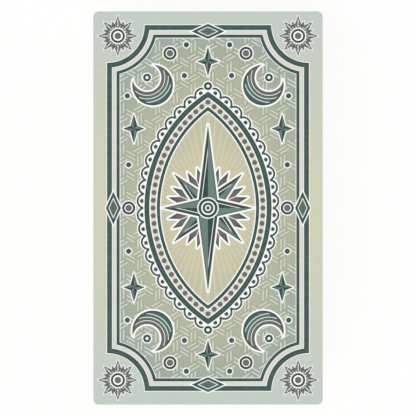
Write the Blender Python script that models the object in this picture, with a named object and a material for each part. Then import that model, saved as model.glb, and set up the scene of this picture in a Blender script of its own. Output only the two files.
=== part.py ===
"""A tarot pack: seventy-eight cards squared face down on a table.

The cards lie with their long sides along Y and their backs up, centred over the origin, from z = 0.
The lowest nineteen cards hold together as the stock, and every card above it is a solid of its own.
"""

from math import cos, pi, sin

import bmesh
import bpy
from mathutils import Vector

# The card, in metres
CARD_WIDTH = 0.070
CARD_LENGTH = 0.120
CARD_THICKNESS = 0.00033
CORNER_RADIUS = 0.0016
CORNER_SEGMENTS = 5

# The pack, from the table up
SUITS = ("wands", "cups", "swords", "pentacles")
PIPS = ("ace", "two", "three", "four", "five", "six", "seven", "eight", "nine", "ten")
COURTS = ("page", "knight", "queen", "king")
MAJOR_CARDS = 22
STOCK_CARDS = 19
CARD_GAP = 0.00002  # air between a card and the next
STOCK_EDGE_DEPTH = 0.0008  # how far in from its edges a card of the stock is free of the next

# The joints
FAN_PIVOT_INSET = 0.015  # from the near short edge to the line that the fan turns about
TURN_AXIS_CLEARANCE = 0.003  # from the right long edge to the line that the top card turns over on

CARD_PITCH = CARD_THICKNESS + CARD_GAP

# Colour, roughness and metallic value of the printed back, the printed face and the cut edge
BACK_FINISH = ((0.52, 0.56, 0.45, 1.0), 0.42, 0.0)
FACE_FINISH = ((0.83, 0.80, 0.69, 1.0), 0.42, 0.0)
EDGE_FINISH = ((0.80, 0.78, 0.72, 1.0), 0.75, 0.0)


def clear_scene():
    for obj in list(bpy.data.objects):
        bpy.data.objects.remove(obj, do_unlink=True)


def make_material(name, finish):
    colour, roughness, metallic = finish
    material = bpy.data.materials.new(name)
    material.use_nodes = True
    shader = material.node_tree.nodes["Principled BSDF"]
    shader.inputs["Base Color"].default_value = colour
    shader.inputs["Roughness"].default_value = roughness
    shader.inputs["Metallic"].default_value = metallic
    return material


def pack_order():
    """Names of all the cards, from the one on the table to the top one."""
    minors = [f"{suit}_{rank}" for suit in SUITS for rank in PIPS + COURTS]
    majors = [f"major_{number:02d}" for number in range(MAJOR_CARDS)]
    return minors + majors


def card_outline(inset):
    """A card's outline drawn in by inset, anticlockwise from the lower right corner."""
    radius = max(CORNER_RADIUS - inset, CORNER_RADIUS / 4)
    reach_x = CARD_WIDTH / 2 - inset - radius
    reach_y = CARD_LENGTH / 2 - inset - radius
    points = []
    for quarter, (side, end) in enumerate(((1, -1), (1, 1), (-1, 1), (-1, -1))):
        for step in range(CORNER_SEGMENTS + 1):
            angle = (quarter - 1 + step / CORNER_SEGMENTS) * pi / 2
            points.append((side * reach_x + radius * cos(angle), end * reach_y + radius * sin(angle)))
    return points


def card_rings(count):
    """Inset and height of each outline up a stack of cards that join inside a shallow groove."""
    rings = []
    for layer in range(count):
        bottom = layer * CARD_PITCH
        if layer:
            rings += [(STOCK_EDGE_DEPTH, bottom - CARD_GAP), (STOCK_EDGE_DEPTH, bottom)]
        rings += [(0.0, bottom), (0.0, bottom + CARD_THICKNESS)]
    return rings


def card_mesh(name, count, materials):
    """One closed body of a card, or of a stack of cards, standing on its own z = 0."""
    shape = bmesh.new()
    loops = []
    for inset, height in card_rings(count):
        loops.append([shape.verts.new((x, y, height)) for x, y in card_outline(inset)])
    shape.faces.new(reversed(loops[0]))
    shape.faces.new(loops[-1])
    for lower, upper in zip(loops, loops[1:]):
        for here in range(len(lower)):
            shape.faces.new((lower[here - 1], lower[here], upper[here], upper[here - 1]))
    shape.normal_update()
    for face in shape.faces:
        upward = round(face.normal.z)
        face.material_index = {1: 0, -1: 1, 0: 2}[upward]
    mesh = bpy.data.meshes.new(name)
    shape.to_mesh(mesh)
    shape.free()
    for material in materials:
        mesh.materials.append(material)
    return mesh


def add_axis(name, location):
    """An empty on a joint's axis, which carries the cards that turn about it."""
    axis = bpy.data.objects.new(name, None)
    axis.location = location
    bpy.context.collection.objects.link(axis)
    return axis


def add_card(name, mesh, height, axis=None):
    """A card, or the stock, centred over the origin with its face at this height."""
    card = bpy.data.objects.new(name, mesh)
    card.location = Vector((0, 0, height))
    if axis:
        card.parent = axis
        card.location -= axis.location
    bpy.context.collection.objects.link(card)


def build_pack():
    materials = [
        make_material("printed_back", BACK_FINISH),
        make_material("printed_face", FACE_FINISH),
        make_material("cut_edge", EDGE_FINISH),
    ]
    names = pack_order()
    top = len(names) - 1
    top_surface = top * CARD_PITCH + CARD_THICKNESS
    fan_axis = add_axis("fan_axis", Vector((0, FAN_PIVOT_INSET - CARD_LENGTH / 2, 0)))
    turn_axis = add_axis("turn_axis", Vector((CARD_WIDTH / 2 + TURN_AXIS_CLEARANCE, 0, top_surface / 2)))
    add_card("stock", card_mesh("stock", STOCK_CARDS, materials), 0)
    single = card_mesh("card", 1, materials)
    for place in range(STOCK_CARDS, top):
        add_card(names[place], single, place * CARD_PITCH, fan_axis)
    add_card(names[top], single, top * CARD_PITCH, turn_axis)


clear_scene()
build_pack()
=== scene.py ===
"""The tarot pack's looks: seventy-eight printed cards, squared face down on a pale table.

A card is a thin plate with rolled edges. Its back, its face and its cut edge each have a procedural
material, which reads where a point lies on its card, in millimetres, from the mesh attribute card_mm,
so that the print stays on a card wherever the card is moved.
"""

import random
from math import acos, cos, hypot, pi, radians, sin, tan

import bpy
from mathutils import Matrix, Vector


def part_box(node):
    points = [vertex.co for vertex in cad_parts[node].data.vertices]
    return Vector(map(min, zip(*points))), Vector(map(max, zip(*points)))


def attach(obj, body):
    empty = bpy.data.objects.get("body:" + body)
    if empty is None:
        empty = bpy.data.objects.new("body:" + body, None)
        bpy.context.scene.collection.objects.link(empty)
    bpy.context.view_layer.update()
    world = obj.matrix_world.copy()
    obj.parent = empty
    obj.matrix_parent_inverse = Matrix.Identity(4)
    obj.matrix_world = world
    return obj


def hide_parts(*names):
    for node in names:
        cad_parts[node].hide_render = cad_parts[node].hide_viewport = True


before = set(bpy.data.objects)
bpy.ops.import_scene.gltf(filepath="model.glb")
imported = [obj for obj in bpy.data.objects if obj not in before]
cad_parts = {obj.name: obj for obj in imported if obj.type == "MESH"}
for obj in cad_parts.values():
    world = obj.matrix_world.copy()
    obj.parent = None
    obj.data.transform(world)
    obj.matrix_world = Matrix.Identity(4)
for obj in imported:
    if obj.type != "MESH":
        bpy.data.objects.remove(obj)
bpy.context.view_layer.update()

MM = 0.001

# The pack, from the table up
SUITS = ("wands", "cups", "swords", "pentacles")
RANKS = ("ace", "two", "three", "four", "five", "six", "seven", "eight", "nine", "ten")
RANKS += ("page", "knight", "queen", "king")
LOWEST_PIPS = 2
HIGHEST_PIPS = 10
MAJOR_CARDS = 22
MAJOR_SUIT = len(SUITS)
STOCK_NODE = "stock"
TOP_NODE = "major_21"

# A card, in metres, with its size from the top card's node
CARD_LOW, CARD_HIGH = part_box(TOP_NODE)
CARD_SIZE = CARD_HIGH - CARD_LOW
CORNER_RADIUS = 1.6 * MM
CORNER_STEPS = 10
EDGE_ROLL = 0.07 * MM
ROLL_STEPS = 2
BACK_SLOT, FACE_SLOT, EDGE_SLOT = range(3)

# How far from true the cards lie in the squared pack, below a few at the top that lie true. The top
# card alone is turned by a hair, which makes it the longest piece, for an export that gives long pieces
# the finest maps.
STRAY = 0.10 * MM
SWAY = 0.14 * MM
SWAY_RATES = (0.19, 0.114)
TRUE_DEPTH = 2.0 * MM
TOP_SKEW = radians(0.01)
DRAW_SEED = 78

# Colours, in sRGB from 0 to 255
MARGIN_MIDDLE = (208, 209, 185)
MARGIN_END = (197, 206, 197)
FIELD_MIDDLE = (213, 205, 164)
FIELD_END = (160, 172, 158)
FIELD_SHADE = (140, 149, 132)
WEAVE_MIDDLE = (220, 211, 172)
WEAVE_END = (209, 218, 202)
PANEL_MIDDLE = (215, 206, 166)
PANEL_END = (168, 179, 164)
RIBBON = (217, 217, 206)
HALO = (254, 254, 252)
INK = (40, 67, 61)
INK_CORE = (80, 110, 102)
INK_PALE = (106, 128, 120)
INK_WARM = (108, 105, 97)
FACE_GROUND = (236, 232, 214)
FACE_PANEL = (244, 241, 228)
SUIT_INKS = ((124, 96, 70), (52, 102, 104), (78, 88, 108), (158, 128, 66), INK)
PAPER_PALE = (246, 244, 237)
PAPER_DULL = (222, 217, 203)
PAPER_CORE = (204, 203, 196)
FLOOR_COLOUR = (255, 255, 255)

# Print on paper. Sizes of the print, here and below, are in millimetres, and places are from the card's
# centre. An inlaid line has a start, which is how far it lies inside an edge, and a width. Rings are
# discs one on another.
PRINT_SOFTNESS = 0.1
RULE_HALO = 0.2
HALO_WIDTH = 0.36
FIGURE_HALO = 0.54
INK_FADE = 0.6
INK_WEAR_START = 0.45

# The frame on the back and the face, and the margin outside it
PRINT_MARGIN = 4.2
FRAME_HALF = (CARD_SIZE.x / MM / 2 - PRINT_MARGIN, CARD_SIZE.y / MM / 2 - PRINT_MARGIN)
SCOOP_RADIUS = 11.5
BOLD_LINE = 1.5
FINE_LINE = 0.95
HAIR_LINE = 0.35
LINE_GAP = 0.62
RIBBON_WIDTH = 1.4
CLASP_HALF = (2.3, 5.0)
CLASP_INLAY = (0.75, 0.22)
MARGIN_LAP = 0.3
MARGIN_FADE = 1.3

# The ground of the back, with its weave and its glow
WEAVE_PITCH = 6.3
WEAVE_SHIFT = (-1.74, 0.31)
WEAVE_STRIP = 1.08
WEAVE_LINE = 0.46
WEAVE_SOFTNESS = 0.25
WEAVE_VISIBLE = 3.1
WEAVE_SLANT = tan(pi / 6)
SHADE_SPREAD = 0.2
SHADE_SOFTNESS = 0.4
SHADE_SHARE = 0.55
GLOW_HALF = (34.7, 54.0)

# The almond in the middle of the back, which two arcs enclose
ALMOND_HALF = (19.4, 35.5)
ALMOND_RADIUS = hypot(*ALMOND_HALF) ** 2 / (2 * ALMOND_HALF[0])
ALMOND_SHIFT = ALMOND_RADIUS - ALMOND_HALF[0]
BEAD_BAND = 2.3
BEADS_PER_SIDE = 16
BEAD_RADIUS = 0.78
SCALLOPS_PER_SIDE = 10
SCALLOP_LINE = 0.6
SCALLOP_DOT_RADIUS = 0.62
SCALLOP_DOT_PLACE = 0.8
FINIAL_LIFT = 1.7
FINIAL_PLACE = ALMOND_HALF[1] + FINIAL_LIFT
FINIAL_RINGS = ((1.25, INK), (0.5, HALO))
PANEL_RAYS = 72
PANEL_RAY_SLOPE = 0.016
PANEL_RAY_SHARE = 0.11

# The suns. A ray, or the split in it, has a place along its spoke, a half length and a half width.
# Warmth, here and below, has a reach and a rate for each millimetre.
SUN_INSET = 3.3
SUN_PLACE = (FRAME_HALF[0] - SUN_INSET, FRAME_HALF[1] - SUN_INSET)
SUN_RAYS = 8
LONG_RAY = (3.7, 2.45, 0.95)
SHORT_RAY = (3.4, 1.5, 0.62)
RAY_SPLIT = (3.9, 1.1, 0.11)
SUN_WARMTH = (5.2, 0.4)
SUN_RINGS = ((2.15, INK), (1.5, HALO), (1.0, INK_WARM))

# The moons, each with a round hollow to one side of its middle
MOON_PLACE = (16.9, 37.5)
MOON_RADIUS = 6.2
HOLLOW_SHIFT = (1.7, 2.3)
HOLLOW_RADIUS = 4.4
MOON_WARMTH = (HOLLOW_RADIUS + 2.2, 0.4)
SCORE_PITCH = 1.05
SCORE_LINE = 0.2
SCORE_INSET = 0.65
MOON_DOT_RADIUS = 1.2
MOON_EYE_RADIUS = 0.45

# The small stars, dots and rosettes of one quarter of the back
SIDE_STAR_PLACE = (22.6, 24.2)
END_STAR_PLACE = 44.7
SMALL_STAR_REACH = (3.3, 4.5)
SMALL_STAR_WAIST = 1.3
SMALL_STAR_INSET = 0.2
DOTS = ((24.6, 34.2), (24.2, 13.2), (7.2, 40.4), (6.6, 49.8))
DOT_RADIUS = 0.8
ROSETTES = ((24.2, 0.0), (11.6, 47.2))
ROSETTE_RINGS = ((2.0, INK), (1.3, HALO), (1.0, INK_WARM))

# The great star, and the burst under it
BURST_RAYS = 24
BURST_REACH = 12.6
BURST_CORE = 9.0
BURST_HALF_WIDTH = 1.1
BURST_SEAM = 0.1
BURST_WARMTH = (11.8, 0.3)
STAR_REACH = (13.8, 25.4)
STAR_WAIST = 3.2
DIAGONAL_REACH = (14.8, 14.8)
DIAGONAL_WAIST = 3.1
STAR_INLAY = (0.85, 0.2)
STAR_INSET = 0.25
STAR_RINGS = ((2.9, INK), (2.1, HALO), (1.65, INK), (0.95, HALO), (0.6, INK_WARM))

# The face of a suit card. A bar of a sign has a height on it, a half width and a half length.
PIP_SCALE = 1.5
LARGE_SCALE = 3.2
PIP_COLUMN = 11.5
PIP_ROW = 18.0
COURT_DOTS_HEIGHT = 43.0
COURT_DOT_PITCH = 6.0
COURT_DOT_RADIUS = 1.5
COURT_DOT_ROOM = 0.2
WAND_ROD = (0.0, 0.8, 4.4)
WAND_KNOB_RADIUS = 1.2
WAND_BUDS = ((1.4, 2.0), (1.4, -1.0))
WAND_BUD_RADIUS = 0.8
CUP_RADIUS = 3.2
CUP_MIDDLE = 2.2
CUP_RIM = 2.9
CUP_STEM = (-2.0, 0.5, 1.8)
CUP_FOOT = (-4.2, 2.2, 0.45)
SWORD_BLADE = (1.0, 0.95, 4.4)
SWORD_GUARD = (-1.9, 2.4, 0.4)
SWORD_GRIP = (-3.3, 0.42, 1.4)
SWORD_POMMEL = -4.8
SWORD_POMMEL_RADIUS = 0.8
COIN_RADIUS = 4.1
COIN_RIM = 0.9
COIN_STAR_POINTS = 5
COIN_STAR_TIP = 3.0
COIN_STAR_NOTCH = 1.15

# The face of a major card
MEDALLION_RADIUS = 26.5
MEDALLION_HAIR_LINE = 0.4
MAJOR_STAR_REACH = (16.0, 16.0)
MAJOR_STAR_WAIST = 4.2
MAJOR_DIAGONAL_REACH = (12.0, 12.0)
MAJOR_DIAGONAL_WAIST = 3.4
MAJOR_HOLE_RADIUS = 3.4
MAJOR_EYE_RADIUS = 1.8
MAJOR_RING = 21.6
MAJOR_DOT_RADIUS = 1.5
MAJOR_END_PLACE = 41.0
MAJOR_END_RADIUS = 5.2
MAJOR_END_LINE = 0.7
MAJOR_END_DOT_RADIUS = 1.7

# Sockets of a Mix node that blends colours
MIX_COLOURS = (6, 7)
MIX_RESULT = 2

# Finish of the print and of the cut edges. A noise has a scale for each millimetre.
NOISE_DETAIL = 3.0
WEAR_SCALE = 0.9
PRINT_FIBRE_SCALE = 4.0
PRINT_ROUGHNESS = 0.5
PRINT_ROUGHNESS_RANGE = 0.16
PRINT_SPECULAR = 0.25
PRINT_BUMP = 0.012 * MM
EDGE_FIBRE_SCALE = 6.0
EDGE_HANDLED_SCALE = 0.12
EDGE_ROUGHNESS = 0.8
EDGE_SPECULAR = 0.2
EDGE_BUMP = 0.02 * MM
BUMP_STRENGTH = 0.35
TONE_SHARE = 0.7
HANDLED_SHARE = 0.5
FIBRE_SHARE = 0.3
DULL_START = 0.42
CORE_LINE = 0.04
CORE_SOFTNESS = 0.05
CORE_SHARE = 0.6

# The camera. The photograph is 416 pixels wide, and shows the card's sides at these pixels.
PICTURE_PIXELS = 416
CARD_LEFT_PIXEL = 93.15
CARD_RIGHT_PIXEL = 322.6
LENS_MM = 70
SENSOR_MM = 36
CLIP_START = 0.01

# Light. The sky and the two lamps together light the top card at a level of 1.
SKY_LEVEL = 0.635
KEY_LEVEL = 0.27
KEY_FROM = Vector((-0.45, -0.55, 1.0))
FILL_LEVEL = 0.07
FILL_FROM = Vector((0.7, 0.5, 1.0))
LAMP_SPREAD = radians(70)
FLOOR_HALF = 3.0
SHADOW_SHARE = 0.2


# Numbers that vary over a surface


class Field:
    """A number that varies over a surface. Its arithmetic adds nodes to the material's tree."""

    def __init__(self, tree, socket):
        self.tree = tree
        self.socket = socket

    def math(self, operation, *others, clamp=False):
        """What a Math node makes of this field and the others."""
        node = self.tree.nodes.new("ShaderNodeMath")
        node.operation = operation
        node.use_clamp = clamp
        for place, term in enumerate((self, *others)):
            if isinstance(term, Field):
                self.tree.links.new(term.socket, node.inputs[place])
            else:
                node.inputs[place].default_value = term
        return Field(self.tree, node.outputs[0])

    def __add__(self, other):
        return self.math("ADD", other)

    def __sub__(self, other):
        return self.math("SUBTRACT", other)

    def __rsub__(self, other):
        return self.math("MULTIPLY_ADD", -1.0, other)

    def __mul__(self, other):
        return self.math("MULTIPLY", other)

    def __truediv__(self, other):
        return self.math("DIVIDE", other)

    def __neg__(self):
        return self.math("MULTIPLY", -1.0)

    def __abs__(self):
        return self.math("ABSOLUTE")

    __radd__ = __add__
    __rmul__ = __mul__


def distance(x, y):
    return x.math("MULTIPLY_ADD", x, y * y).math("SQRT")


def turned(x, y):
    """A place in axes that are turned by an eighth of a turn."""
    return (x + y) * sin(pi / 4), (y - x) * sin(pi / 4)


def wrap(value, period):
    """The value's signed distance from the nearest multiple of the period."""
    return value.math("WRAP", period / 2, -period / 2)


def sector(x, y, count):
    """A point's place along and across the nearest of this many spokes from the origin."""
    angle = wrap(y.math("ARCTAN2", x), 2 * pi / count)
    radius = distance(x, y)
    return radius * angle.math("COSINE"), radius * angle.math("SINE")


def above(value, limit):
    """1 where the value is over the limit, and 0 elsewhere."""
    return value.math("GREATER_THAN", limit)


def choose(flag, when_one, when_zero):
    return (when_one - when_zero).math("MULTIPLY_ADD", flag, when_zero)


# Shapes. A shape is a field of distances in millimetres, negative inside it.


def least(first, *others):
    """The union of shapes."""
    for other in others:
        first = first.math("MINIMUM", other)
    return first


def greatest(first, *others):
    """What shapes have in common."""
    for other in others:
        first = first.math("MAXIMUM", other)
    return first


def where(flag, shape):
    """A shape that is there only where the flag isn't 0."""
    return greatest(shape, 0.5 - flag)


def cover(shape, softness=PRINT_SOFTNESS):
    """How much of a point a shape covers, from 0 to 1."""
    return shape.math("MULTIPLY_ADD", -1.0 / softness, 0.5, clamp=True)


def stroke(shape, start, width):
    """The line of this width that starts this far inside a shape's edge."""
    return abs(shape + (start + width / 2)) - width / 2


def double_line(shape, outer, gap, inner):
    """Two lines with a gap between them, of which the outer one lies just inside a shape's edge."""
    return least(stroke(shape, 0, outer), stroke(shape, outer + gap, inner))


def disc(x, y, radius):
    return distance(x, y) - radius


def bar(x, y, half_x, half_y):
    """A rectangle about the origin."""
    return greatest(abs(x) - half_x, abs(y) - half_y)


def rhombus(x, y, half_x, half_y):
    """A rhombus about the origin, from coordinates that are both positive."""
    reach = 1 / hypot(1 / half_x, 1 / half_y)
    return x * (reach / half_x) + (y * (reach / half_y) - reach)


def four_point_star(x, y, reach_x, reach_y, waist):
    """A star about the origin, from coordinates that are both positive."""
    rays = least(rhombus(x, y, waist, reach_y), rhombus(x, y, reach_x, waist))
    return greatest(rays, x - reach_x, y - reach_y)


def clockwise_halves(x, y):
    """The half of each of four rays, up, down, left and right, that lies clockwise of its middle."""
    return x * y * (abs(x) - abs(y)) / (x * x + y * y)


def ray_burst(spoke, off_spoke, middle, half_length, half_width):
    """Rays that are rhombuses about a place along each spoke."""
    ray = rhombus(abs(spoke - middle), abs(off_spoke), half_length, half_width)
    return greatest(ray, spoke - (middle + half_length))


def scooped_frame(across, along):
    """A rectangle whose corners are scooped out."""
    from_side, from_end = across - FRAME_HALF[0], along - FRAME_HALF[1]
    return greatest(from_side, from_end, SCOOP_RADIUS - distance(from_side, from_end))


# Printing


def linear(colour):
    """An sRGB colour from 0 to 255 as linear RGBA."""
    parts = []
    for level in colour:
        level /= 255
        parts.append(level / 12.92 if level <= 0.04045 else ((level + 0.055) / 1.055) ** 2.4)
    return (*parts, 1.0)


class Sheet:
    """A colour over one side of a card, on to which shapes are printed one after another."""

    def __init__(self, tree, ground, wear):
        self.tree = tree
        self.colour = ground
        self.wear = wear

    def blend(self, share, first, second):
        """From the first to the second of two colours, each an sRGB colour or a socket."""
        node = self.tree.nodes.new("ShaderNodeMix")
        node.data_type = "RGBA"
        self.tree.links.new(share.socket, node.inputs["Factor"])
        for place, colour in zip(MIX_COLOURS, (first, second)):
            if isinstance(colour, tuple):
                node.inputs[place].default_value = linear(colour)
            else:
                self.tree.links.new(colour, node.inputs[place])
        return node.outputs[MIX_RESULT]

    def ink(self, shape):
        """Ink that lies a little paler inside a shape than along its edges, and unevenly."""
        depth = shape.math("MULTIPLY_ADD", -INK_FADE, self.wear - INK_WEAR_START, clamp=True)
        return self.blend(depth, INK, INK_CORE)

    def warmed(self, ink, from_centre, reach, rate):
        """Ink that turns warm towards a centre."""
        return self.blend((reach - from_centre).math("MULTIPLY", rate, clamp=True), ink, INK_WARM)

    def rayed(self, x, y, ground):
        """A ground with faint pale rays from the card's centre."""
        spoke, off_spoke = sector(x, y, PANEL_RAYS)
        rays = abs(off_spoke) - spoke * PANEL_RAY_SLOPE
        return self.blend(cover(rays) * PANEL_RAY_SHARE, ground, HALO)

    def fill(self, shape, colour, softness=PRINT_SOFTNESS):
        self.colour = self.blend(cover(shape, softness), self.colour, colour)

    def draw(self, shape, colour, halo_width=HALO_WIDTH):
        """A shape with a pale halo round it."""
        self.fill(shape - halo_width, HALO)
        self.fill(shape, colour)

    def draw_rings(self, from_centre, rings):
        """Discs one on another, from the widest, each with its radius and its colour."""
        (radius, colour), *inner = rings
        self.draw(from_centre - radius, colour)
        for radius, colour in inner:
            self.fill(from_centre - radius, colour)


# The back. All but the weave and the stars on its middle line is mirrored from quarter to quarter.


def woven_strips(x, y):
    """A three-way basket weave of doubled lines, each shown where it passes over the others."""
    x, y = x - WEAVE_SHIFT[0], y - WEAVE_SHIFT[1]
    row = WEAVE_PITCH * sin(pi / 3)
    strips = []
    for turn in (0, 2 * pi / 3, 4 * pi / 3):
        across = x * cos(turn) + y * sin(turn)
        along = y * cos(turn) - x * sin(turn)
        from_line = wrap(across - row / 2, row)
        line_shift = (across - from_line) * (WEAVE_PITCH / 2 / row)
        from_crossing = wrap(along - line_shift - from_line * WEAVE_SLANT, WEAVE_PITCH)
        pair = abs(abs(from_line) - WEAVE_STRIP / 2) - WEAVE_LINE / 2
        strips.append(greatest(pair, abs(from_crossing) - WEAVE_VISIBLE / 2))
    return least(*strips)


def from_glow(x, y):
    """0 in the middle of the card, and 1 where the glow there ends."""
    return distance(x / GLOW_HALF[0], y / GLOW_HALF[1])


def print_ground(sheet, x, y):
    """A weave on a ground that glows in the middle of the card, inside a plain margin."""
    to_end = (abs(y) / FRAME_HALF[1]).math("POWER", MARGIN_FADE, clamp=True)
    margin = sheet.blend(to_end, MARGIN_MIDDLE, MARGIN_END)
    glow = from_glow(x, y)
    field = sheet.blend(glow, FIELD_MIDDLE, FIELD_END)
    thread = sheet.blend(glow, WEAVE_MIDDLE, WEAVE_END)
    strips = woven_strips(x, y)
    shade = cover(strips - SHADE_SPREAD, SHADE_SOFTNESS) * SHADE_SHARE
    sheet.colour = sheet.blend(shade, field, FIELD_SHADE)
    sheet.fill(strips, thread, WEAVE_SOFTNESS)
    sheet.fill(-scooped_frame(abs(x), abs(y)) - MARGIN_LAP, margin)


def print_scallops(sheet, almond, angle):
    """Lace round the almond up to its tips: a pale scallop with a dot in it, over and over."""
    tip_angle = acos(ALMOND_SHIFT / ALMOND_RADIUS)
    scallop_angle = tip_angle / SCALLOPS_PER_SIDE
    from_middle = wrap(angle - scallop_angle / 2, scallop_angle) * ALMOND_RADIUS
    scallop = disc(from_middle, almond, ALMOND_RADIUS * scallop_angle / 2)
    dot = disc(from_middle, almond - SCALLOP_DOT_PLACE, SCALLOP_DOT_RADIUS)
    past_tip = (angle - tip_angle) * ALMOND_RADIUS
    lace = greatest(least(stroke(scallop, -SCALLOP_LINE / 2, SCALLOP_LINE), dot), past_tip)
    sheet.fill(greatest(scallop, past_tip), HALO)
    sheet.draw(lace, sheet.ink(lace))


def print_beads(sheet, almond, angle):
    """A pale band inside the almond's bold line, with a row of beads along its middle."""
    sheet.fill(stroke(almond, BOLD_LINE + HALO_WIDTH, BEAD_BAND - 2 * HALO_WIDTH), RIBBON)
    inset = BOLD_LINE + BEAD_BAND / 2
    row_radius = ALMOND_RADIUS - inset
    bead_angle = acos(ALMOND_SHIFT / row_radius) / BEADS_PER_SIDE
    sheet.fill(disc(wrap(angle, bead_angle) * row_radius, almond + inset, BEAD_RADIUS), INK_WARM)


def print_almond(sheet, x, y):
    """A glowing rayed panel, edged by scallops, beads between two lines, and a finial at each tip."""
    from_axis = abs(x) + ALMOND_SHIFT
    almond = disc(from_axis, abs(y), ALMOND_RADIUS)
    angle = abs(y).math("ARCTAN2", from_axis)
    print_scallops(sheet, almond, angle)
    sheet.draw_rings(distance(x, abs(y) - FINIAL_PLACE), FINIAL_RINGS)
    panel = sheet.blend(from_glow(x, y), PANEL_MIDDLE, PANEL_END)
    sheet.fill(almond, sheet.rayed(x, y, panel))
    edging = double_line(almond, BOLD_LINE, BEAD_BAND, FINE_LINE)
    sheet.draw(edging, sheet.ink(edging))
    print_beads(sheet, almond, angle)


def print_frame(sheet, across, along):
    """A pale ribbon between a bold line and a fine one, clasped at the middle of each side."""
    edge = scooped_frame(across, along)
    rules = double_line(edge, BOLD_LINE, RIBBON_WIDTH, FINE_LINE)
    sheet.draw(rules, sheet.ink(rules), RULE_HALO)
    sheet.fill(stroke(edge, BOLD_LINE + RULE_HALO, RIBBON_WIDTH - 2 * RULE_HALO), RIBBON)
    middle = (BOLD_LINE + RIBBON_WIDTH + FINE_LINE) / 2
    side = rhombus(abs(across - (FRAME_HALF[0] - middle)), along, *CLASP_HALF)
    end = rhombus(across, abs(along - (FRAME_HALF[1] - middle)), *reversed(CLASP_HALF))
    clasp = least(side, end)
    sheet.draw(clasp, sheet.ink(clasp))
    sheet.fill(stroke(clasp, *CLASP_INLAY), HALO)


def print_suns(sheet, across, along):
    """A sun with long and short rays in each scooped corner."""
    x, y = across - SUN_PLACE[0], along - SUN_PLACE[1]
    from_centre = distance(x, y)
    spoke, off_spoke = sector(x, y, SUN_RAYS)
    long_rays = ray_burst(spoke, off_spoke, *LONG_RAY)
    short_rays = ray_burst(*sector(x, y, 2 * SUN_RAYS), *SHORT_RAY)
    colour = sheet.warmed(INK_CORE, from_centre, *SUN_WARMTH)
    sheet.draw(least(long_rays, short_rays), colour, RULE_HALO)
    split_place, *split_half = RAY_SPLIT
    sheet.fill(bar(spoke - split_place, off_spoke, *split_half), HALO)
    sheet.draw_rings(from_centre, SUN_RINGS)


def print_moons(sheet, across, along):
    """A crescent in each corner of the field, scored with fine pale lines, and a dot in its hollow."""
    x, y = across - MOON_PLACE[0], along - MOON_PLACE[1]
    from_hollow = distance(x - HOLLOW_SHIFT[0], y - HOLLOW_SHIFT[1])
    shift = hypot(*HOLLOW_SHIFT)
    to_horns = (MOON_RADIUS ** 2 - HOLLOW_RADIUS ** 2 + shift ** 2) / (2 * shift)
    towards_horns = x * (HOLLOW_SHIFT[0] / shift) + y * (HOLLOW_SHIFT[1] / shift)
    moon = greatest(disc(x, y, MOON_RADIUS), HOLLOW_RADIUS - from_hollow, towards_horns - to_horns)
    sheet.draw(moon, sheet.warmed(sheet.ink(moon), from_hollow, *MOON_WARMTH), FIGURE_HALO)
    scores = abs(wrap(from_hollow - HOLLOW_RADIUS, SCORE_PITCH)) - SCORE_LINE / 2
    sheet.fill(greatest(scores, moon + SCORE_INSET), HALO)
    dot_ink = sheet.ink(from_hollow - MOON_DOT_RADIUS)
    sheet.draw_rings(from_hollow, ((MOON_DOT_RADIUS, dot_ink), (MOON_EYE_RADIUS, HALO)))


def print_small_star(sheet, x, y):
    """A star whose rays are pale in one half and dark in the other."""
    star = four_point_star(abs(x), abs(y), *SMALL_STAR_REACH, SMALL_STAR_WAIST)
    sheet.draw(star, INK)
    sheet.fill(greatest(star + SMALL_STAR_INSET, clockwise_halves(x, y)), INK_PALE)


def print_small_motifs(sheet, x, y):
    """Split stars, dots and small rosettes in the field."""
    across, along = abs(x), abs(y)
    print_small_star(sheet, across - SIDE_STAR_PLACE[0], along - SIDE_STAR_PLACE[1])
    print_small_star(sheet, x, along - END_STAR_PLACE)
    dots = least(*[disc(across - x, along - y, DOT_RADIUS) for x, y in DOTS])
    sheet.draw(dots, sheet.ink(dots))
    from_rosette = least(*[distance(across - x, along - y) for x, y in ROSETTES])
    sheet.draw_rings(from_rosette, ROSETTE_RINGS)


def print_burst(sheet, x, y):
    """A round of thin rays, with pale seams between them."""
    spoke, off_spoke = sector(x, y, BURST_RAYS)
    rays = ray_burst(spoke, off_spoke, BURST_CORE, BURST_REACH - BURST_CORE, BURST_HALF_WIDTH)
    burst = least(rays, spoke - BURST_CORE)
    sheet.draw(burst, sheet.warmed(sheet.ink(burst), spoke, *BURST_WARMTH), FIGURE_HALO)
    to_seam = spoke * tan(pi / BURST_RAYS) - abs(off_spoke)
    sheet.fill(greatest(to_seam - BURST_SEAM, spoke - BURST_CORE), HALO)


def print_split_star(sheet, x, y, reach, waist):
    """A star whose rays are pale in one half, and dark with a fine inlaid line in the other."""
    star = four_point_star(abs(x), abs(y), *reach, waist)
    halves = clockwise_halves(x, y)
    sheet.draw(star, INK, FIGURE_HALO)
    sheet.fill(greatest(stroke(star, *STAR_INLAY), -halves), HALO)
    sheet.fill(greatest(star + STAR_INSET, halves), INK_PALE)


def print_back(sheet, x, y):
    across, along = abs(x), abs(y)
    print_ground(sheet, x, y)
    print_almond(sheet, x, y)
    print_frame(sheet, across, along)
    print_suns(sheet, across, along)
    print_moons(sheet, across, along)
    print_small_motifs(sheet, x, y)
    print_burst(sheet, x, y)
    print_split_star(sheet, *turned(x, y), DIAGONAL_REACH, DIAGONAL_WAIST)
    print_split_star(sheet, x, y, STAR_REACH, STAR_WAIST)
    sheet.draw_rings(distance(x, y), STAR_RINGS)


# The face. A suit's sign is about ten millimetres high.


def bar_at(x, y, height, half_x, half_y):
    return bar(x, y - height, half_x, half_y)


def wand(x, y):
    buds = [disc(abs(x) - bud_x, y - bud_y, WAND_BUD_RADIUS) for bud_x, bud_y in WAND_BUDS]
    knob = disc(x, y - WAND_ROD[2], WAND_KNOB_RADIUS)
    return least(bar_at(x, y, *WAND_ROD), knob, *buds)


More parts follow.
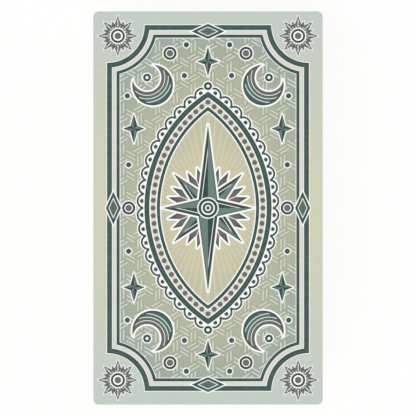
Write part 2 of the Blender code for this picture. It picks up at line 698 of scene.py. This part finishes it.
def cup(x, y):
    bowl = greatest(disc(x, y - CUP_MIDDLE, CUP_RADIUS), y - CUP_RIM)
    return least(bowl, bar_at(x, y, *CUP_STEM), bar_at(x, y, *CUP_FOOT))


def sword(x, y):
    blade_height, *blade_half = SWORD_BLADE
    blade = rhombus(abs(x), abs(y - blade_height), *blade_half)
    pommel = disc(x, y - SWORD_POMMEL, SWORD_POMMEL_RADIUS)
    return least(blade, bar_at(x, y, *SWORD_GUARD), bar_at(x, y, *SWORD_GRIP), pommel)


def coin(x, y):
    """A star inside a ring."""
    spoke, off_spoke = sector(y, x, COIN_STAR_POINTS)
    tip = Vector((COIN_STAR_TIP, 0))
    notch = COIN_STAR_NOTCH * Vector((cos(pi / COIN_STAR_POINTS), sin(pi / COIN_STAR_POINTS)))
    slope = (tip - notch).normalized()
    star = (spoke - COIN_STAR_TIP) * -slope.y + abs(off_spoke) * slope.x
    return least(star, abs(disc(x, y, COIN_RADIUS)) - COIN_RIM / 2)


def suit_sign(x, y, suit):
    """The sign of a suit, by the suit's number."""
    sign, *others = [shape(x, y) for shape in (wand, cup, sword, coin)]
    for number, other in enumerate(others):
        sign = choose(above(suit, number + 0.5), other, sign)
    return sign


def suit_art(x, y, suit, rank, is_pips):
    """Pips in two columns, or else one large sign, with a court card's dots above and below."""
    count = (rank - 1) * is_pips + 1
    rows = (count * 0.5).math("CEIL")
    row = (y / PIP_ROW + rows * 0.5).math("FLOOR")
    row = least(greatest(row, 0.0), rows - 1)
    odd = (count * 0.5).math("FRACT") * 2
    alone = odd * above(row, rows - 1.5)
    column = is_pips * (1 - alone) * PIP_COLUMN
    scale = is_pips * (PIP_SCALE - LARGE_SCALE) + LARGE_SCALE
    pip_x = (abs(x) - column) / scale
    pip_y = (y - (row - (rows - 1) * 0.5) * PIP_ROW) / scale
    sign = suit_sign(pip_x, pip_y, suit) * scale
    court = rank - HIGHEST_PIPS
    dot_x = wrap(x + (court - 1) * (COURT_DOT_PITCH / 2), COURT_DOT_PITCH)
    dots = disc(dot_x, abs(y) - COURT_DOTS_HEIGHT, COURT_DOT_RADIUS)
    dots = greatest(dots, abs(x) - court * (COURT_DOT_PITCH / 2) + COURT_DOT_ROOM)
    return least(sign, dots)


def major_art(x, y, rank):
    """A star in a ring of as many dots as the card's number, and a ringed dot above and below."""
    radius = distance(x, y)
    upright = four_point_star(abs(x), abs(y), *MAJOR_STAR_REACH, MAJOR_STAR_WAIST)
    turned_x, turned_y = turned(x, y)
    diagonal = four_point_star(abs(turned_x), abs(turned_y), *MAJOR_DIAGONAL_REACH, MAJOR_DIAGONAL_WAIST)
    star = greatest(least(upright, diagonal), MAJOR_HOLE_RADIUS - radius)
    steps = x.math("ARCTAN2", y) * rank * (1 / (2 * pi))
    angle = wrap(steps, 1.0) * (2 * pi) / rank
    spoke, off_spoke = radius * angle.math("COSINE"), radius * angle.math("SINE")
    dots = disc(spoke - MAJOR_RING, off_spoke, MAJOR_DOT_RADIUS)
    from_end = distance(x, abs(y) - MAJOR_END_PLACE)
    ends = stroke(from_end - MAJOR_END_RADIUS, 0, MAJOR_END_LINE)
    eye = radius - MAJOR_EYE_RADIUS
    return least(star, where(rank, dots), ends, from_end - MAJOR_END_DOT_RADIUS, eye)


def print_face(sheet, x, y, suit, rank):
    """A framed panel with a card's art. All but the pip cards have a rayed medallion behind it."""
    across, along = abs(x), abs(y)
    edge = scooped_frame(across, along)
    sheet.fill(edge, FACE_PANEL)
    sheet.fill(double_line(edge, FINE_LINE, LINE_GAP, HAIR_LINE), INK)
    print_suns(sheet, across, along)
    is_major = above(suit, MAJOR_SUIT - 0.5)
    is_pips = above(rank, LOWEST_PIPS - 0.5) * (1 - above(rank, HIGHEST_PIPS + 0.5)) * (1 - is_major)
    medallion = disc(x, y, MEDALLION_RADIUS)
    sheet.fill(where(1 - is_pips, medallion), sheet.rayed(x, y, PANEL_MIDDLE))
    rings = where(1 - is_pips, double_line(medallion, BOLD_LINE, LINE_GAP, MEDALLION_HAIR_LINE))
    sheet.draw(rings, sheet.ink(rings))
    art = choose(is_major, major_art(x, y, rank), suit_art(x, y, suit, rank, is_pips))
    colour = SUIT_INKS[0]
    for number, ink in enumerate(SUIT_INKS[1:]):
        colour = sheet.blend(above(suit, number + 0.5), colour, ink)
    sheet.draw(art, colour)


# Materials


def card_place(tree):
    """Where a point lies on its card, as a vector and as three fields: across, along and up."""
    place = tree.nodes.new("ShaderNodeAttribute")
    place.attribute_name = "card_mm"
    split = tree.nodes.new("ShaderNodeSeparateXYZ")
    tree.links.new(place.outputs["Vector"], split.inputs[0])
    return place.outputs["Vector"], [Field(tree, out) for out in split.outputs]


def card_number(tree, name):
    """A number that is the same all over a card, such as its rank."""
    node = tree.nodes.new("ShaderNodeAttribute")
    node.attribute_name = name
    return Field(tree, node.outputs["Fac"])


def noise(tree, vector, scale):
    node = tree.nodes.new("ShaderNodeTexNoise")
    node.inputs["Scale"].default_value = scale
    node.inputs["Detail"].default_value = NOISE_DETAIL
    tree.links.new(vector, node.inputs["Vector"])
    return Field(tree, node.outputs["Fac"])


def new_material(name, roughness, specular):
    material = bpy.data.materials.new(name)
    material.use_nodes = True
    shader = material.node_tree.nodes["Principled BSDF"]
    shader.inputs["Roughness"].default_value = roughness
    shader.inputs["Specular IOR Level"].default_value = specular
    return material, material.node_tree, shader


def add_bump(tree, shader, height, depth):
    bump = tree.nodes.new("ShaderNodeBump")
    bump.inputs["Distance"].default_value = depth
    bump.inputs["Strength"].default_value = BUMP_STRENGTH
    tree.links.new(height.socket, bump.inputs["Height"])
    tree.links.new(bump.outputs["Normal"], shader.inputs["Normal"])


def printed_material(name, ground, printer, numbers=()):
    """Satin card, printed by a function that takes the sheet, the place and the card's numbers."""
    material, tree, shader = new_material(name, PRINT_ROUGHNESS, PRINT_SPECULAR)
    vector, (x, y, _) = card_place(tree)
    sheet = Sheet(tree, ground, noise(tree, vector, WEAR_SCALE))
    printer(sheet, x, y, *[card_number(tree, number) for number in numbers])
    tree.links.new(sheet.colour, shader.inputs["Base Color"])
    fibre = noise(tree, vector, PRINT_FIBRE_SCALE)
    roughness = fibre * PRINT_ROUGHNESS_RANGE + (PRINT_ROUGHNESS - PRINT_ROUGHNESS_RANGE / 2)
    tree.links.new(roughness.socket, shader.inputs["Roughness"])
    add_bump(tree, shader, fibre, PRINT_BUMP)
    return material


def edge_material():
    """Cut card: pale paper that differs from card to card, with a duller core and stray fibres."""
    material, tree, shader = new_material("cut_edge", EDGE_ROUGHNESS, EDGE_SPECULAR)
    vector, (_, _, up) = card_place(tree)
    tone = card_number(tree, "tone")
    handled = noise(tree, vector, EDGE_HANDLED_SCALE)
    fibre = noise(tree, vector, EDGE_FIBRE_SCALE)
    dull = tone * TONE_SHARE + handled * HANDLED_SHARE + fibre * FIBRE_SHARE
    dull = dull.math("SUBTRACT", DULL_START, clamp=True)
    sheet = Sheet(tree, PAPER_PALE, fibre)
    sheet.colour = sheet.blend(dull, PAPER_PALE, PAPER_DULL)
    core = abs(up - CARD_SIZE.z / MM / 2) - CORE_LINE / 2
    sheet.colour = sheet.blend(cover(core, CORE_SOFTNESS) * CORE_SHARE, sheet.colour, PAPER_CORE)
    tree.links.new(sheet.colour, shader.inputs["Base Color"])
    add_bump(tree, shader, fibre, EDGE_BUMP)
    return material


# Cards


def pack_order():
    """Name, suit and rank of each card, from the one on the table to the top one."""
    order = []
    for suit, suit_name in enumerate(SUITS):
        order += [(f"{suit_name}_{word}", suit, rank) for rank, word in enumerate(RANKS, 1)]
    order += [(f"major_{number:02d}", MAJOR_SUIT, number) for number in range(MAJOR_CARDS)]
    return order


def card_outline(inset):
    """A card's outline drawn in by inset, anticlockwise from the lower right corner."""
    radius = CORNER_RADIUS - inset
    reach_x, reach_y = CARD_SIZE.x / 2 - CORNER_RADIUS, CARD_SIZE.y / 2 - CORNER_RADIUS
    points = []
    for quarter, (side, end) in enumerate(((1, -1), (1, 1), (-1, 1), (-1, -1))):
        for step in range(CORNER_STEPS + 1):
            angle = (quarter - 1 + step / CORNER_STEPS) * pi / 2
            points.append((side * reach_x + radius * cos(angle), end * reach_y + radius * sin(angle)))
    return points


def rolled_rings():
    """Inset and height of each outline from a card's face up to its back."""
    rings = []
    for step in range(ROLL_STEPS + 1):
        angle = step / ROLL_STEPS * pi / 2
        rings.append((EDGE_ROLL * (1 - sin(angle)), EDGE_ROLL * (1 - cos(angle))))
    return rings + [(inset, CARD_SIZE.z - height) for inset, height in reversed(rings)]


def card_mesh(name, numbers, materials):
    """A card that stands on its own z = 0, with the numbers that its materials read."""
    points = []
    for inset, height in rolled_rings():
        points += [(x, y, height) for x, y in card_outline(inset)]
    around = len(card_outline(0))
    last = len(points) - around
    faces = [list(range(around))[::-1], list(range(last, last + around))]
    slots = [FACE_SLOT, BACK_SLOT]
    for low in range(0, last, around):
        high = low + around
        for here in range(around):
            after = (here + 1) % around
            faces.append((low + here, low + after, high + after, high + here))
        slots += [FACE_SLOT if low == 0 else BACK_SLOT if high == last else EDGE_SLOT] * around
    mesh = bpy.data.meshes.new(name)
    mesh.from_pydata(points, [], faces)
    for material in materials:
        mesh.materials.append(material)
    mesh.polygons.foreach_set("material_index", slots)
    mesh.polygons.foreach_set("use_smooth", [place > 1 for place in range(len(faces))])
    place_mm = mesh.attributes.new("card_mm", "FLOAT_VECTOR", "POINT")
    place_mm.data.foreach_set("vector", [value / MM for point in points for value in point])
    for key, value in numbers.items():
        attribute = mesh.attributes.new(key, "FLOAT", "POINT")
        attribute.data.foreach_set("value", [value] * len(points))
    return mesh


def build_cards():
    """Every card of the pack, on the body of its node, and the lowest ones on the stock's."""
    order = pack_order()
    top = len(order) - 1
    pitch = CARD_LOW.z / top
    back = printed_material("printed_back", MARGIN_MIDDLE, print_back)
    face = printed_material("printed_face", FACE_GROUND, print_face, ("suit", "rank"))
    materials = [back, face, edge_material()]
    draw = random.Random(DRAW_SEED)
    for place, (name, suit, rank) in enumerate(order):
        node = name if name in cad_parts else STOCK_NODE
        numbers = {"tone": draw.random(), "suit": suit, "rank": rank}
        mesh = card_mesh(f"card_{name}", numbers, materials)
        free = min(1.0, (top - place) * pitch / TRUE_DEPTH)
        across = free * (SWAY * sin(place * SWAY_RATES[0]) + STRAY * draw.uniform(-1, 1))
        along = free * (SWAY * cos(place * SWAY_RATES[1]) + STRAY * draw.uniform(-1, 1))
        skew = Matrix.Rotation(TOP_SKEW if place == top else 0.0, 4, "Z")
        mesh.transform(Matrix.Translation((across, along, place * pitch)) @ skew)
        card = bpy.data.objects.new(f"card_{name}", mesh)
        bpy.context.scene.collection.objects.link(card)
        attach(card, node)
        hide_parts(node)
        "stock_cards" if node == STOCK_NODE else "single_card"


# Camera, floor and light


def add_camera():
    """A camera straight above the pack, which shows the top card as wide as the photograph does."""
    view_width = CARD_SIZE.x * PICTURE_PIXELS / (CARD_RIGHT_PIXEL - CARD_LEFT_PIXEL)
    data = bpy.data.cameras.new("camera")
    data.lens = LENS_MM
    data.sensor_width = SENSOR_MM
    data.clip_start = CLIP_START
    camera = bpy.data.objects.new("camera", data)
    camera.location = (0, 0, CARD_HIGH.z + view_width * LENS_MM / SENSOR_MM)
    bpy.context.scene.collection.objects.link(camera)
    bpy.context.scene.camera = camera


def seen_directly(tree):
    """1 for a ray from the camera, a mirror or a pane of glass, and 0 for one that carries light."""
    path = tree.nodes.new("ShaderNodeLightPath")
    kinds = ("Is Camera Ray", "Is Glossy Ray", "Is Transmission Ray")
    return greatest(*[Field(tree, path.outputs[kind]) for kind in kinds])


def floor_material():
    """White that takes a shadow faintly."""
    material = bpy.data.materials.new("floor")
    material.use_nodes = True
    tree = material.node_tree
    tree.nodes.clear()
    lit = tree.nodes.new("ShaderNodeBsdfDiffuse")
    lit.inputs["Color"].default_value = linear(FLOOR_COLOUR)
    plain = tree.nodes.new("ShaderNodeEmission")
    mix = tree.nodes.new("ShaderNodeMixShader")
    output = tree.nodes.new("ShaderNodeOutputMaterial")
    tree.links.new((seen_directly(tree) * (1 - SHADOW_SHARE)).socket, mix.inputs["Fac"])
    tree.links.new(lit.outputs[0], mix.inputs[1])
    tree.links.new(plain.outputs[0], mix.inputs[2])
    tree.links.new(mix.outputs[0], output.inputs["Surface"])
    return material


def add_floor():
    mesh = bpy.data.meshes.new("floor")
    corners = [(-1, -1), (1, -1), (1, 1), (-1, 1)]
    mesh.from_pydata([(x * FLOOR_HALF, y * FLOOR_HALF, 0) for x, y in corners], [], [(0, 1, 2, 3)])
    mesh.materials.append(floor_material())
    floor = bpy.data.objects.new("floor", mesh)
    bpy.context.scene.collection.objects.link(floor)


def add_lamp(name, level, source):
    """A broad distant lamp that adds this level on a surface that faces up."""
    data = bpy.data.lights.new(name, "SUN")
    data.energy = level * pi / source.normalized().z
    data.angle = LAMP_SPREAD
    lamp = bpy.data.objects.new(name, data)
    lamp.rotation_euler = (-source).to_track_quat("-Z", "Y").to_euler()
    lamp.location = source
    bpy.context.scene.collection.objects.link(lamp)


def add_sky():
    """Even light from all round, which looks white."""
    world = bpy.data.worlds.new("studio")
    world.use_nodes = True
    tree = world.node_tree
    background = tree.nodes["Background"]
    background.inputs["Color"].default_value = (1, 1, 1, 1)
    strength = seen_directly(tree) * (1 - SKY_LEVEL) + SKY_LEVEL
    tree.links.new(strength.socket, background.inputs["Strength"])
    bpy.context.scene.world = world


bpy.context.scene.view_settings.view_transform = "Standard"
add_camera()
add_floor()
add_sky()
add_lamp("key", KEY_LEVEL, KEY_FROM)
add_lamp("fill", FILL_LEVEL, FILL_FROM)
build_cards()
